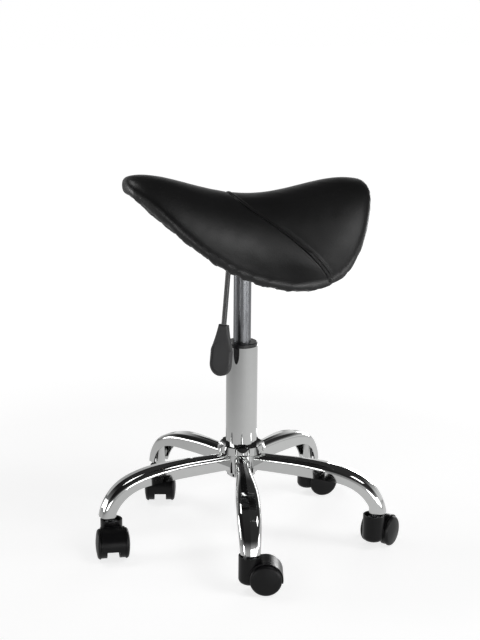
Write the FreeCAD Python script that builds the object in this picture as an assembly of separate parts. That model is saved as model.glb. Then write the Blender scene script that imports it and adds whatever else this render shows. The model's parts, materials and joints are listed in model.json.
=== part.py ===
"""Saddle stool: five leg chromed base on twin wheel casters, gas lift column, saddle seat.

Millimetres, +Z up. The origin is on the floor under the column. The nose of the seat points to -Y
and the right hand of someone sitting on it is +X.
"""
import FreeCAD
import Part
import math
import os

V = FreeCAD.Vector
UP = V(0, 0, 1)
ORIGIN = V(0, 0, 0)
OUT = "parts"

# Fits
bearing_clear = 0.05     # radial clearance of a shaft in its hole
seat_clear = 0.1         # gap between two fixed pieces that lie against each other
soft_clear = 0.4         # gap between curved pieces of the seat
run_clear = 0.3          # gap between pieces that move past each other

# Casters
wheel_d = 48.0
wheel_inner_d = 45.4     # the part of the wheel that runs under the hood
wheel_out = 27.0         # half of the width over both wheels
wheel_in = 9.9           # half of the gap between the two wheels
wheel_wall = 2.2
wheel_dome = 3.2         # how far the outer face bulges
wheel_edge_r = 3.4
hub_boss_d = 12.0
axle_d = 6.0
trail = 23.5             # stem to axle
hood_half = 18.8         # half of the width of the hood
hood_r = 26.2
hood_wall = 2.2
hood_low = 19.0          # height of the hood's lower rear edge
web_half = 9.2
barrel_r = 17.3
barrel_low = 12.0
barrel_round = 8.0
shoulder_z = 50.0
neck_top = 55.5
neck_wall = 2.6
neck_floor = 49.0
stem_d = 11.0
stem_low_d = 8.0
stem_low_z = 22.0
stem_collar_d = 20.0
stem_collar_t = 2.0
grip_groove = 0.7
stem_top = 86.0
caster_turns = (74.0, 133.0, 89.0, -14.0, -6.0)   # trailing direction of each caster, degrees

# Legs
leg_count = 5
leg_turn = -12.2         # direction of leg 1, degrees from +X
caster_circle_r = 219.0
leg_top_z = 141.6        # top of the leg at the hub
leg_start = 20.0
leg_slope = 2.8          # degrees
leg_straight = 95.0
leg_bend_r = 240.0
leg_bend_slope = 20.0
leg_nose_r = 82.0
leg_nose_slope = 77.0
leg_wall = 2.2
leg_root_half = 12.5     # half widths of the leg
leg_wide_half = 18.3
leg_tip_half = 15.0
leg_root_depth = 25.0
leg_bend_depth = 19.5
leg_corner_r = 9.0
leg_crown = 1.0          # height of the soft ridge along the top
leg_end_z = 62.0
cavity_depth = 30.0      # how far the cutter of the channel reaches below its walls
sleeve_d = 16.6
sleeve_low = neck_top + 1.6
sleeve_top = 120.0       # drawn past the roof of the leg, which ends it

# Hub and column
hub_d = 54.0
hub_low = 110.0
hub_top = 142.6
flange_r = 39.5
flange_top = 157.0
flange_lobe_r = 13.0
tube_d = 50.0
tube_wall = 2.0
tube_top = 320.0
tube_taper_top = 150.0
tube_low_d = 45.0
tube_low = 102.0
tube_floor = 3.0
tube_round = 2.0
bush_flange_t = 5.0
bush_depth = 60.0
rod_d = 10.0
rod_neck_d = 7.0
clip_t = 1.5
clip_d = 15.0
washer_t = 1.5
ball_d = 4.0
ball_count = 12
ball_circle_d = 18.0
washer_d = 26.0
bumper_d = 24.0
bumper_h = 10.0

# Gas spring
cylinder_d = 28.0
cylinder_wall = 2.0
lift_travel = 105.0
cylinder_cap = 14.0
piston_h = 12.0
taper_low = 446.0        # where the cylinder's taper starts
taper_tip = 466.0
taper_tip_d = 26.4
valve_pin_d = 7.0
valve_pin_up = 8.0       # how far the release button stands above the cylinder
valve_pin_in = 12.0
valve_travel = 2.0

# Mechanism under the seat
mount_z = 490.0          # face of the seat block that the plate is bolted to
plate_t = 3.0
plate_x = 126.0
plate_y = 156.0
plate_lip = 9.0
housing_half = 25.0
housing_floor_t = 3.0
socket_d = 38.0
bolt_x = 47.0
bolt_y = 62.0
bolt_d = 6.0
bolt_head_d = 12.5
bolt_head_t = 4.0
bolt_len = 13.0
insert_d = 9.0
lever_turn = -49.0       # direction of the lever, degrees from +X
lever_d = 8.0
lever_pivot_r = 20.0
lever_pin_d = 4.0
lever_tab_t = 3.0
lever_bend_in = 36.5     # radius from the column at which the rod bends down
lever_bend_r = 10.0
lever_lean = 7.8         # degrees off the vertical
rod_in_paddle = 22.0     # how deep the rod sits in the paddle
paddle_top_z = 363.0
paddle_low_z = 283.0
paddle_w = 37.0
paddle_neck_w = 15.0
paddle_straight = 22.0   # length of the paddle's parallel sides
paddle_t = 10.0
paddle_inset = 0.8       # depth of the face that is sunk in each side of the paddle
paddle_rim = 4.5         # width of the rim round that face

# Saddle seat: u runs forward from the column, v sideways
seat_front = 174.7
seat_back = 186.2
ridge_tail = 577.8
ridge_back = 571.1
ridge_dip = 561.2
ridge_front = 578.6
ridge_nose = 594.0
half_back = 144.0
half_mid = 138.5
half_nose = 100.3
drop_back = 129.7
drop_mid = 105.0
drop_nose = 54.3
outline_power = 4.1
edge_r = 12.0            # half of the thickness of the padded edge
nose_swell = 2.5         # how much that grows towards the nose
centre_extra = 20.0      # extra thickness along the middle
skin_t = 1.5
board_t = 9.0
board_in = 9.0
lap = 25.0               # width of the cover that is turned under the board
lap_clear = 1.2          # gap between the board and that turned edge
dust_t = 0.8
seam_front = 24.0        # where the seam crosses the middle
seam_round = 80.3        # radius of the seam across the middle
seam_angle = 47.7        # how far each half sweeps back, degrees
seam_w = 3.0
seam_up = 1.2
block_x = 116.0
block_y = 146.0


def save(shape, name):
    solids = shape.Solids
    out = solids[0] if len(solids) == 1 else Part.makeCompound(solids)
    out.exportStep(OUT + "/" + name + ".step")
    box = out.BoundBox
    print(name, len(solids), round(sum(s.Volume for s in solids) / 1000.0, 2), "cm3",
          "z", round(box.ZMin, 1), round(box.ZMax, 1), out.isValid())


def cyl(d, z0, z1, x=0.0, y=0.0):
    return Part.makeCylinder(d / 2.0, z1 - z0, V(x, y, z0), UP)


def ring(d_out, d_in, z0, z1, x=0.0, y=0.0):
    return cyl(d_out, z0, z1, x, y).cut(cyl(d_in, z0 - 1, z1 + 1, x, y))


def box(x0, x1, y0, y1, z0, z1):
    return Part.makeBox(x1 - x0, y1 - y0, z1 - z0, V(x0, y0, z0))


def revolve(points):
    """Solid of revolution about Z from (radius, z) points joined by lines."""
    loop = [V(r, 0, z) for r, z in points]
    return Part.Face(Part.makePolygon(loop + loop[:1])).revolve(ORIGIN, UP, 360)


def turned(shape, degrees, at=ORIGIN, axis=UP):
    out = shape.copy()
    out.rotate(at, axis, degrees)
    return out


def moved(shape, x, y, z=0.0):
    out = shape.copy()
    out.translate(V(x, y, z))
    return out


def loft(wires):
    """Smooth solid through closed outlines; cubic, so that it doesn't swing between them."""
    return Part.makeLoft(wires, True, False, False, 3)


def arc(a, b, c):
    return Part.Arc(a, b, c).toShape()


def line(a, b):
    return Part.LineSegment(a, b).toShape()


def on_circle(radius, degrees):
    a = math.radians(degrees)
    return radius * math.cos(a), radius * math.sin(a)


# Casters

def caster_hood():
    """Moulded housing: barrel round the stem, hood over both wheels, web that holds the axle."""
    axle_z = wheel_d / 2.0
    barrel = cyl(2 * barrel_r, barrel_low, shoulder_z)
    low_edges = [e for e in barrel.Edges if e.BoundBox.ZMax < barrel_low + 0.01]
    barrel = barrel.makeFillet(barrel_round, low_edges)
    drum = Part.makeCylinder(hood_r, 2 * hood_half, V(trail, -hood_half, axle_z), V(0, 1, 0))
    drum = drum.cut(box(trail - hood_r - 1, trail + hood_r + 1, -hood_half - 1, hood_half + 1,
                        -5, hood_low))
    body = barrel.fuse(drum).removeSplitter()
    pocket_w = hood_half + 1 - web_half
    for side in (-1, 1):
        start = web_half if side > 0 else -web_half - pocket_w
        body = body.cut(Part.makeCylinder(hood_r - hood_wall, pocket_w, V(trail, start, axle_z),
                                          V(0, 1, 0)))
    body = body.fuse(cyl(2 * barrel_r, shoulder_z - 1, neck_top)).removeSplitter()
    body = body.cut(cyl(2 * (barrel_r - neck_wall), neck_floor, neck_top + 1))
    body = body.cut(cyl(stem_low_d + 2 * bearing_clear, stem_low_z - run_clear, neck_top))
    body = body.cut(Part.makeCylinder(axle_d / 2.0 + seat_clear, 4 * web_half,
                                      V(trail, -2 * web_half, axle_z), V(0, 1, 0)))
    return body


def caster_stem():
    """Steel stem: lower journal in the hood, collar, upper pin held in the leg by a grip ring."""
    low = stem_low_d / 2.0
    pin = stem_d / 2.0
    collar_z = neck_floor + run_clear
    groove_z = stem_top - 12.0
    return revolve([(0, stem_low_z), (low, stem_low_z), (low, collar_z),
                    (stem_collar_d / 2.0, collar_z), (stem_collar_d / 2.0, collar_z + stem_collar_t),
                    (pin, collar_z + stem_collar_t), (pin, groove_z), (pin - grip_groove, groove_z),
                    (pin - grip_groove, groove_z + 4), (pin, groove_z + 4), (pin, stem_top - 1.5),
                    (pin - 1.5, stem_top), (0, stem_top)])


def caster_axle():
    half = wheel_out - wheel_dome - wheel_wall - run_clear
    return Part.makeCylinder(axle_d / 2.0, 2 * half, V(trail, -half, wheel_d / 2.0), V(0, 1, 0))


def caster_wheel(side):
    """Dished wheel with a domed outer face, an inner tread under the hood and a hub boss."""
    r = wheel_d / 2.0
    r_in = wheel_inner_d / 2.0
    flat = wheel_out - wheel_dome
    step = hood_half + 0.6
    bore = axle_d / 2.0 + bearing_clear
    boss = hub_boss_d / 2.0
    back = wheel_in
    p = [V(0, wheel_out, 0), V((r - wheel_edge_r) * 0.55, wheel_out - wheel_dome * 0.28, 0),
         V(r - wheel_edge_r, flat + 0.6, 0), V(r - wheel_edge_r * 0.3, flat - 1.1, 0),
         V(r, flat - 3.0, 0), V(r, step, 0), V(r_in, step, 0), V(r_in, back, 0),
         V(r_in - wheel_wall, back, 0), V(r_in - wheel_wall, flat - wheel_wall, 0),
         V(boss, flat - wheel_wall, 0), V(boss, back, 0), V(bore, back, 0),
         V(bore, flat - wheel_wall, 0), V(0, flat - wheel_wall, 0)]
    edges = [arc(p[0], p[1], p[2]), arc(p[2], p[3], p[4])]
    edges += [line(p[i], p[i + 1]) for i in range(4, len(p) - 1)] + [line(p[-1], p[0])]
    wheel = Part.Face(Part.Wire(edges)).revolve(ORIGIN, V(0, 1, 0), 360)
    if side < 0:
        wheel = turned(wheel, 180)
    return moved(wheel, trail, 0, r)


def make_casters():
    pieces = {"hood": caster_hood(), "stem": caster_stem(), "axle": caster_axle(),
              "wheel_left": caster_wheel(1), "wheel_right": caster_wheel(-1)}
    for i in range(leg_count):
        x, y = on_circle(caster_circle_r, leg_turn + 360.0 / leg_count * i)
        for name, shape in pieces.items():
            placed = moved(turned(shape, caster_turns[i]), x, y)
            save(placed, "caster_%s_%d" % (name, i + 1))


# Legs

def leg_stations():
    """Stations down the leg: x, z of the top, slope in degrees, half width, depth of the wall."""
    out = []
    for x, half in ((leg_start, leg_root_half), (leg_start + leg_straight * 0.55, leg_root_half)):
        z = leg_top_z - (x - leg_start) * math.tan(math.radians(leg_slope))
        out.append((x, z, leg_slope, half, leg_root_depth))
    x = leg_start + leg_straight
    z = leg_top_z - leg_straight * math.tan(math.radians(leg_slope))
    out.append((x, z, leg_slope, (leg_root_half + leg_wide_half) / 2.0, leg_root_depth - 0.5))
    for radius, a0, a1, steps, halves in (
            (leg_bend_r, leg_slope, leg_bend_slope, 2, (leg_wide_half - 0.6, leg_wide_half)),
            (leg_nose_r, leg_bend_slope, leg_nose_slope, 4,
             (leg_wide_half - 0.2, leg_wide_half - 1.0, leg_wide_half - 2.0, leg_tip_half))):
        x0, z0 = x, z
        for k in range(1, steps + 1):
            a = a0 + (a1 - a0) * k / steps
            ra, r0 = math.radians(a), math.radians(a0)
            x = x0 + radius * (math.sin(ra) - math.sin(r0))
            z = z0 - radius * (math.cos(r0) - math.cos(ra))
            part = min(1.0, max(0.0, (a - leg_slope) / (leg_bend_slope - leg_slope)))
            depth = leg_root_depth + (leg_bend_depth - leg_root_depth) * part
            out.append((x, z, a, halves[k - 1], depth))
    x, z, a, half, depth = out[-1]
    run = (z - leg_end_z + 6.0) / math.sin(math.radians(a))
    ra = math.radians(a)
    out.append((x + run * math.cos(ra), z - run * math.sin(ra), a, half - 0.4, depth))
    return out


def leg_section(station, inset, deeper):
    """Inverted U outline across the leg; inset makes the cavity, deeper opens it below."""
    x, z, slope, half, depth = station
    a = math.radians(slope)
    half = half - inset
    corner = max(leg_corner_r - inset, 1.0)
    low = -(depth + deeper)

    def at(side, up):
        return V(x + up * math.sin(a), side, z + up * math.cos(a))

    top = -inset
    s = corner * (1 - math.sqrt(0.5))
    left = [at(-half, low), at(-half, top - corner), at(-half + s, top - s), at(-half + corner, top)]
    right = [at(p, q) for p, q in ((half - corner, top), (half - s, top - s), (half, top - corner),
                                   (half, low))]
    ridge = at(0, top + leg_crown)
    edges = [line(left[0], left[1]), arc(left[1], left[2], left[3]), line(left[3], ridge),
             line(ridge, right[0]), arc(right[0], right[1], right[2]), line(right[2], right[3]),
             line(right[3], left[0])]
    return Part.Wire(edges)


def leg_solids():
    stations = leg_stations()
    outer = loft([leg_section(s, 0.0, 0.0) for s in stations])
    cavity = loft([leg_section(s, leg_wall, cavity_depth) for s in stations])
    room = loft([leg_section(s, leg_wall + seat_clear, cavity_depth) for s in stations])
    below = box(-10, 300, -40, 40, 0, leg_end_z)
    leg = outer.cut(cavity).cut(below).cut(cyl(hub_d + 2 * seat_clear, 0, 200))
    sleeve = cyl(sleeve_d, sleeve_low, sleeve_top, caster_circle_r).common(room)
    sleeve = sleeve.cut(cyl(stem_d + 2 * seat_clear, 0, 200, caster_circle_r))
    return leg, sleeve


def make_legs():
    leg, sleeve = leg_solids()
    sleeves = []
    for i in range(leg_count):
        angle = leg_turn + 360.0 / leg_count * i
        save(turned(leg, angle), "leg_%d" % (i + 1))
        sleeves.append(turned(sleeve, angle))
    save(Part.makeCompound(sleeves), "caster_sockets")


# Hub and column

def tube_radius(z):
    """Outer radius of the column tube, which tapers in the hub."""
    if z >= tube_taper_top:
        return tube_d / 2.0
    part = (tube_taper_top - z) / (tube_taper_top - tube_low)
    return tube_d / 2.0 + (tube_low_d - tube_d) / 2.0 * part


def make_hub():
    bore_low = tube_radius(hub_low) + seat_clear
    bore_top = tube_radius(hub_top) + seat_clear
    r = hub_d / 2.0
    hub = revolve([(bore_low, hub_low), (r - 1.0, hub_low), (r, hub_low + 1.0), (r, hub_top),
                   (bore_top, hub_top)])
    save(hub, "hub")
    inner = tube_d / 2.0 + seat_clear
    disc = revolve([(inner, hub_top), (flange_r - 6, hub_top), (flange_r, hub_top + 5),
                    (flange_r, flange_top - 6), (flange_r - 3.5, flange_top),
                    (inner + 4, flange_top - 4), (inner, flange_top - 5)])
    lobes = cyl(2 * (flange_r - 5), hub_top - 1, flange_top + 1)
    for i in range(leg_count):
        x, y = on_circle(flange_r - flange_lobe_r, leg_turn + 360.0 / leg_count * i)
        lobes = lobes.fuse(cyl(2 * flange_lobe_r, hub_top - 1, flange_top + 1, x, y))
    save(disc.common(lobes), "hub_flange")


def make_column():
    r_low = tube_low_d / 2.0
    r = tube_d / 2.0
    inner = r - tube_wall
    low_in = r_low - tube_wall
    top_in = tube_radius(tube_taper_top) - tube_wall
    rod_hole = rod_neck_d / 2.0 + bearing_clear
    tube = revolve([(rod_hole, tube_low), (r_low - tube_round, tube_low), (r_low, tube_low + tube_round),
                    (r, tube_taper_top), (r, tube_top - bush_flange_t * 0.2), (r - 0.8, tube_top),
                    (inner, tube_top), (top_in, tube_taper_top), (low_in, tube_low + tube_floor),
                    (rod_hole, tube_low + tube_floor)])
    save(tube, "column_tube")
    guide = cylinder_d / 2.0 + bearing_clear
    bush = revolve([(guide, tube_top - bush_depth), (inner - seat_clear, tube_top - bush_depth),
                    (inner - seat_clear, tube_top), (r - 0.6, tube_top),
                    (r - 0.6, tube_top + bush_flange_t - 1), (r - 1.8, tube_top + bush_flange_t),
                    (guide, tube_top + bush_flange_t)])
    save(bush, "column_bush")


def make_swivel():
    """Thrust bearing, rod, piston, clip and bumper inside the lower end of the column."""
    floor = tube_low + tube_floor
    rod_r = rod_d / 2.0
    save(ring(washer_d, rod_d + 1.0, floor, floor + washer_t), "bearing_washer_lower")
    ball_z = floor + washer_t + ball_d / 2.0
    cage = ring(washer_d - 1, rod_d + 1.4, ball_z - 0.8, ball_z + 0.8)
    balls = []
    for i in range(ball_count):
        x, y = on_circle(ball_circle_d / 2.0, 360.0 / ball_count * i)
        cage = cage.cut(cyl(ball_d + 0.2, ball_z - 3, ball_z + 3, x, y))
        balls.append(Part.makeSphere(ball_d / 2.0, V(x, y, ball_z)))
    save(cage, "bearing_cage")
    save(Part.makeCompound(balls), "bearing_balls")
    top = ball_z + ball_d / 2.0
    save(ring(washer_d, rod_d + 2 * seat_clear, top, top + washer_t), "bearing_washer_upper")
    bumper_z = top + washer_t
    bumper = revolve([(rod_r + seat_clear, bumper_z), (bumper_d / 2.0, bumper_z),
                      (bumper_d / 2.0, bumper_z + bumper_h * 0.5),
                      (bumper_d / 2.0 - 3, bumper_z + bumper_h), (rod_r + seat_clear, bumper_z + bumper_h)])
    save(bumper, "bumper")
    cylinder_low = bumper_z + bumper_h + run_clear + lift_travel
    piston_low = cylinder_low + cylinder_cap + run_clear
    neck = rod_neck_d / 2.0
    rod_low = tube_low - clip_t - 2.5
    rod = revolve([(0, rod_low), (neck, rod_low), (neck, tube_low - clip_t - 0.4),
                   (neck - 1, tube_low - clip_t - 0.4), (neck - 1, tube_low - 0.3),
                   (neck, tube_low - 0.3), (neck, top - 0.6), (rod_r, top - 0.6),
                   (rod_r, piston_low), (0, piston_low)])
    save(rod, "piston_rod")
    clip = ring(clip_d, rod_neck_d - 2 + 2 * seat_clear, tube_low - clip_t - 0.3, tube_low - 0.3)
    save(clip.cut(box(0, clip_d, -1.6, 1.6, 0, tube_low)), "retaining_clip")
    bore = cylinder_d / 2.0 - cylinder_wall
    save(cyl(2 * (bore - bearing_clear), piston_low, piston_low + piston_h), "piston")
    return cylinder_low


def make_gas_spring(cylinder_low):
    """Pressure cylinder that slides in the bush; its tapered end holds the seat."""
    r = cylinder_d / 2.0
    bore = r - cylinder_wall
    tip = taper_tip_d / 2.0
    rod_hole = rod_d / 2.0 + bearing_clear
    pin_hole = valve_pin_d / 2.0 + bearing_clear
    pin_low = taper_tip - valve_pin_in
    body = revolve([(rod_hole, cylinder_low), (r - 1, cylinder_low), (r, cylinder_low + 1),
                    (r, taper_low), (tip, taper_tip - 1), (tip - 1, taper_tip),
                    (pin_hole, taper_tip), (pin_hole, pin_low - valve_travel - run_clear),
                    (0, pin_low - valve_travel - run_clear), (0, taper_low - 10),
                    (bore, taper_low - 10), (bore, cylinder_low + cylinder_cap),
                    (rod_hole, cylinder_low + cylinder_cap)])
    save(body, "gas_cylinder")
    pin_r = valve_pin_d / 2.0
    pin_top = taper_tip + valve_pin_up
    pin = revolve([(0, pin_low), (pin_r, pin_low), (pin_r, pin_top - 1.2), (pin_r - 1.2, pin_top),
                   (0, pin_top)])
    save(pin, "valve_pin")


# Mechanism

def make_mechanism():
    plate_low = mount_z - plate_t
    floor_low = taper_tip
    floor_top = floor_low + housing_floor_t
    half = housing_half
    wall = housing_floor_t
    plate = box(-plate_x / 2, plate_x / 2, -plate_y / 2, plate_y / 2, plate_low, mount_z)
    corners = [e for e in plate.Edges if abs(e.tangentAt(0).z) > 0.9]
    plate = plate.makeFillet(14.0, corners)
    for side in (-1, 1):
        x = side * (plate_x / 2 - plate_t / 2)
        lip = box(x - plate_t / 2, x + plate_t / 2, -plate_y / 2 + 16, plate_y / 2 - 16,
                  plate_low - plate_lip, mount_z)
        plate = plate.fuse(lip)
    house = box(-half, half, -half, half, floor_low, plate_low)
    house = house.cut(box(-half + wall, half - wall, -half + wall, half - wall, floor_top, plate_low + 1))
    house = house.cut(cyl(taper_tip_d + 1.0, floor_low - 1, floor_top + 1))
    window = box(0, 2 * half, -lever_d / 2 - 1.5, lever_d / 2 + 1.5, floor_top, plate_low)
    house = turned(house.cut(window), lever_turn)
    plate = plate.fuse(house).removeSplitter()
    for sx in (-1, 1):
        for sy in (-1, 1):
            plate = plate.cut(cyl(bolt_d + 0.6, plate_low - 1, mount_z + 1, sx * bolt_x, sy * bolt_y))
    pivot_z = taper_tip + valve_pin_up + run_clear + lever_tab_t / 2.0
    pin_hole = Part.makeCylinder(lever_pin_d / 2.0 + seat_clear, 4 * half,
                                 V(lever_pivot_r, -2 * half, pivot_z), V(0, 1, 0))
    plate = plate.cut(turned(pin_hole, lever_turn))
    save(plate, "mechanism_plate")

    grip_low = taper_low
    low_r = cylinder_d / 2.0 + seat_clear
    tip_r = taper_tip_d / 2.0 + seat_clear
    socket = revolve([(low_r, grip_low - 2), (socket_d / 2.0 - 2, grip_low - 2),
                      (socket_d / 2.0, grip_low), (socket_d / 2.0, floor_low), (tip_r, floor_low),
                      (low_r, grip_low)])
    save(socket, "taper_socket")
    pin_half = half + 1.5
    pin = Part.makeCylinder(lever_pin_d / 2.0, 2 * pin_half, V(lever_pivot_r, -pin_half, pivot_z),
                            V(0, 1, 0))
    save(turned(pin, lever_turn), "lever_pin")
    return pivot_z


def paddle_outline(tall, inset):
    """Face of the paddle, upright and across the lever; inset gives the face sunk in it."""
    big = paddle_w / 2.0 - inset
    centre = paddle_w / 2.0
    s = big * math.sqrt(0.5)
    wide = V(0, big, centre + paddle_straight)
    low = V(0, 0, centre - big)
    if inset:
        top = V(0, 0, centre + paddle_straight + big)
        bow = V(0, s, wide.z + s)
        sides = [arc(wide, bow, top), arc(top, V(0, -bow.y, bow.z), V(0, -big, wide.z))]
    else:
        neck = V(0, paddle_neck_w / 2.0, tall)
        waist = V(0, paddle_neck_w / 2.0 + 3.5, tall * 0.8)
        sides = [arc(wide, waist, neck), line(neck, V(0, -neck.y, tall)),
                 arc(V(0, -neck.y, tall), V(0, -waist.y, waist.z), V(0, -big, wide.z))]
    round_end = [arc(V(0, -big, centre), V(0, -s, centre - s), low),
                 arc(low, V(0, s, centre - s), V(0, big, centre))]
    straight = [line(V(0, big, centre), wide), line(V(0, -big, wide.z), V(0, -big, centre))]
    return Part.Face(Part.Wire(Part.__sortEdges__(sides + round_end + straight)))


def make_lever(pivot_z):
    """Bent rod from the valve pin out of the housing and down to the paddle."""
    r = lever_d / 2.0
    lean = math.radians(lever_lean)
    turn = math.pi / 2 - lean
    corner = V(lever_bend_in, 0, pivot_z)
    cut_back = lever_bend_r * math.tan(turn / 2)
    a = V(corner.x - cut_back, 0, corner.z)
    down = V(math.sin(lean), 0, -math.cos(lean))
    b = corner + down * cut_back
    centre = V(a.x, 0, a.z - lever_bend_r)
    mid_a = math.pi / 2 - turn / 2
    mid = centre + V(math.cos(mid_a), 0, math.sin(mid_a)) * lever_bend_r
    length = (b.z - paddle_top_z) / math.cos(lean) + rod_in_paddle
    end = b + down * length
    start = V(lever_pivot_r - 9.0, 0, pivot_z)
    path = Part.Wire([line(start, a), arc(a, mid, b), line(b, end)])
    disc = Part.Wire([Part.makeCircle(r, start, V(1, 0, 0))])
    rod = path.makePipeShell([disc], True, True)
    tab = box(-4.0, lever_pivot_r - 4.0, -r, r, pivot_z - lever_tab_t / 2, pivot_z + lever_tab_t / 2)
    rod = rod.fuse(tab).removeSplitter()
    bore = Part.makeCylinder(lever_pin_d / 2.0 + bearing_clear, 4 * r,
                             V(lever_pivot_r, -2 * r, pivot_z), V(0, 1, 0))
    rod = rod.cut(bore)
    save(turned(rod, lever_turn), "lever_rod")

    # The paddle is drawn upright in the plane across the lever, then leaned and turned
    tall = (paddle_top_z - paddle_low_z) / math.cos(lean)
    body = paddle_outline(tall, 0.0).extrude(V(paddle_t, 0, 0))
    rims = [e for e in body.Edges if abs(e.BoundBox.XMax - e.BoundBox.XMin) < 0.01]
    body = moved(body.makeFillet(2.4, rims), -paddle_t / 2, 0)
    for side in (-1, 1):
        face = paddle_outline(tall, paddle_rim).extrude(V(paddle_t, 0, 0))
        start = paddle_t / 2 - paddle_inset if side > 0 else -1.5 * paddle_t + paddle_inset
        body = body.cut(moved(face, start, 0))
    sink = lever_d / 2.0 + seat_clear
    depth = rod_in_paddle + run_clear
    body = body.cut(Part.makeCylinder(sink, depth + 5.0, V(0, 0, tall - depth), UP))
    body = moved(body, 0, 0, -tall)
    body.rotate(ORIGIN, V(0, 1, 0), -lever_lean)
    reach = (pivot_z - paddle_top_z) * math.tan(lean)
    body = moved(body, lever_bend_in + reach, 0, paddle_top_z)
    save(turned(body, lever_turn), "lever_paddle")


# Seat

def blend(values, t):
    """Smooth curve through evenly spaced values, t from -1 to 1."""
    n = len(values)
    knots = [-1.0 + 2.0 * i / (n - 1) for i in range(n)]
    total = 0.0
    for i in range(n):
        w = 1.0
        for j in range(n):
            if j != i:
                w *= (t - knots[j]) / (knots[i] - knots[j])
        total += values[i] * w
    return total


seat_half_len = (seat_front + seat_back) / 2.0
seat_mid = (seat_front - seat_back) / 2.0
stations_t = (-0.95, -0.87, -0.74, -0.55, -0.28, 0.0, 0.28, 0.55, 0.74, 0.87, 0.95)
layer_t = (-1.0, -0.94, -0.8, -0.55, -0.28, 0.0, 0.28, 0.55, 0.8, 0.94, 1.0)
tip_tilts = (25.0, 48.0, 68.0)
tip_roll = 0.6           # share of the width that the rolled edge takes at the very ends


def full_half(t):
    """Half width of the saddle before its ends are rounded off."""
    return blend((half_back, half_mid, half_nose), t / 0.8)


def ridge(t):
    return blend((ridge_tail, ridge_back, ridge_dip, ridge_front, ridge_nose), t)


def droop(t):
    return blend((drop_back, drop_mid, drop_nose), t) / full_half(t) ** 2


class Section:
    """Cross section of the saddle at one station: heights and normals of its top line.

    Past the ends of the outline, tilt turns the section round the padded edge, in degrees.
    """

    def __init__(self, t, tilt=0.0, inset=0.0):
        turn = math.radians(tilt)
        edge = edge_r + nose_swell * max(0.0, t) ** 4
        over = (edge - inset) * math.sin(turn)
        self.u = seat_mid + seat_half_len * t + math.copysign(over, t)
        self.r = edge * math.cos(turn)
        half, length = full_half(t) + edge, seat_half_len + edge
        along = (seat_half_len * abs(t) + edge * math.sin(turn)) / length
        share = math.sqrt(1.0 - along ** outline_power)
        slope = half / length * outline_power / 2 * along ** (outline_power - 1) / share
        roll = tip_roll * half * share if tilt else edge * math.sqrt(1.0 + slope * slope)
        self.w = half * share - roll      # the rolled edge widens where the outline turns in
        self.stretch = max(1.001, roll / self.r)
        self.k = droop(t)
        self.z0 = ridge(t)
        self.sink = edge - self.r
        self.extra = centre_extra * min(1.0, self.w / full_half(t) * 1.15) if not tilt else 0.0

    def point(self, v, depth):
        """Point at sideways place v, at the given depth square to the top line."""
        slope = 2.0 * self.k * v
        n = math.sqrt(1.0 + slope * slope)
        depth = depth + self.sink
        return V(v - depth * slope / n, -self.u, self.z0 - self.k * v * v - depth / n)

    def thick(self, v):
        return 2.0 * self.r + self.extra * (1.0 - (v / self.w) ** 2)

    def row(self, w, depth_of):
        """Three arcs from +w to -w at a depth given by a function of v."""
        vs = [w * (1.0 - i / 3.0) for i in range(7)]
        pts = [self.point(v, depth_of(v)) for v in vs]
        return [arc(pts[i], pts[i + 1], pts[i + 2]) for i in (0, 2, 4)]

    def rounded(self, inset):
        """Closed outline with rolled edges, inset all round."""
        w, r = self.w, self.r - inset
        edges = self.row(w, lambda v: inset)
        roll = []
        for side in (-1, 1):
            slope = 2.0 * self.k * w
            n = math.sqrt(1.0 + slope * slope)
            c = self.point(side * w, self.r)
            up = V(side * slope / n, 0, 1.0 / n)
            out = V(side / n, 0, -slope / n)
            edge = Part.Ellipse(c + out * (r * self.stretch), c + up * r, c)
            roll.append([Part.ArcOfEllipse(edge, 0, math.pi / 2).toShape(),
                         Part.ArcOfEllipse(edge, -math.pi / 2, 0).toShape()])
        low = self.row(w, lambda v: self.thick(v) - inset)
        return Part.Wire(Part.__sortEdges__(edges + roll[0] + low + roll[1]))

    def layer(self, w, top, bottom):
        """Closed outline between two depths, each a function of v, with upright ends."""
        high = self.row(w, top)
        low = self.row(w, bottom)
        ends = [line(self.point(s * w, top(w)), self.point(s * w, bottom(w))) for s in (-1, 1)]
        return Part.Wire(Part.__sortEdges__(high + low + ends))


def padded_body(inset):
    """The whole saddle form, inset all round by a distance."""
    tail = [Section(-1.0, tilt, inset) for tilt in reversed(tip_tilts)]
    nose = [Section(1.0, tilt, inset) for tilt in tip_tilts]
    sections = tail + [Section(t) for t in stations_t] + nose
    return loft([s.rounded(inset) for s in sections])


def layer_body(side_in, end_in, above, below):
    """Sheet of the saddle: above and below are heights over its underside."""
    wires = []
    reach = 1.0 - end_in / seat_half_len
    for t in layer_t:
        s = Section(t * reach)
        w = max(s.w - side_in, 6.0)
        wires.append(s.layer(w, lambda v: s.thick(v) - above, lambda v: s.thick(v) - below))
    return loft(wires)


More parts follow.
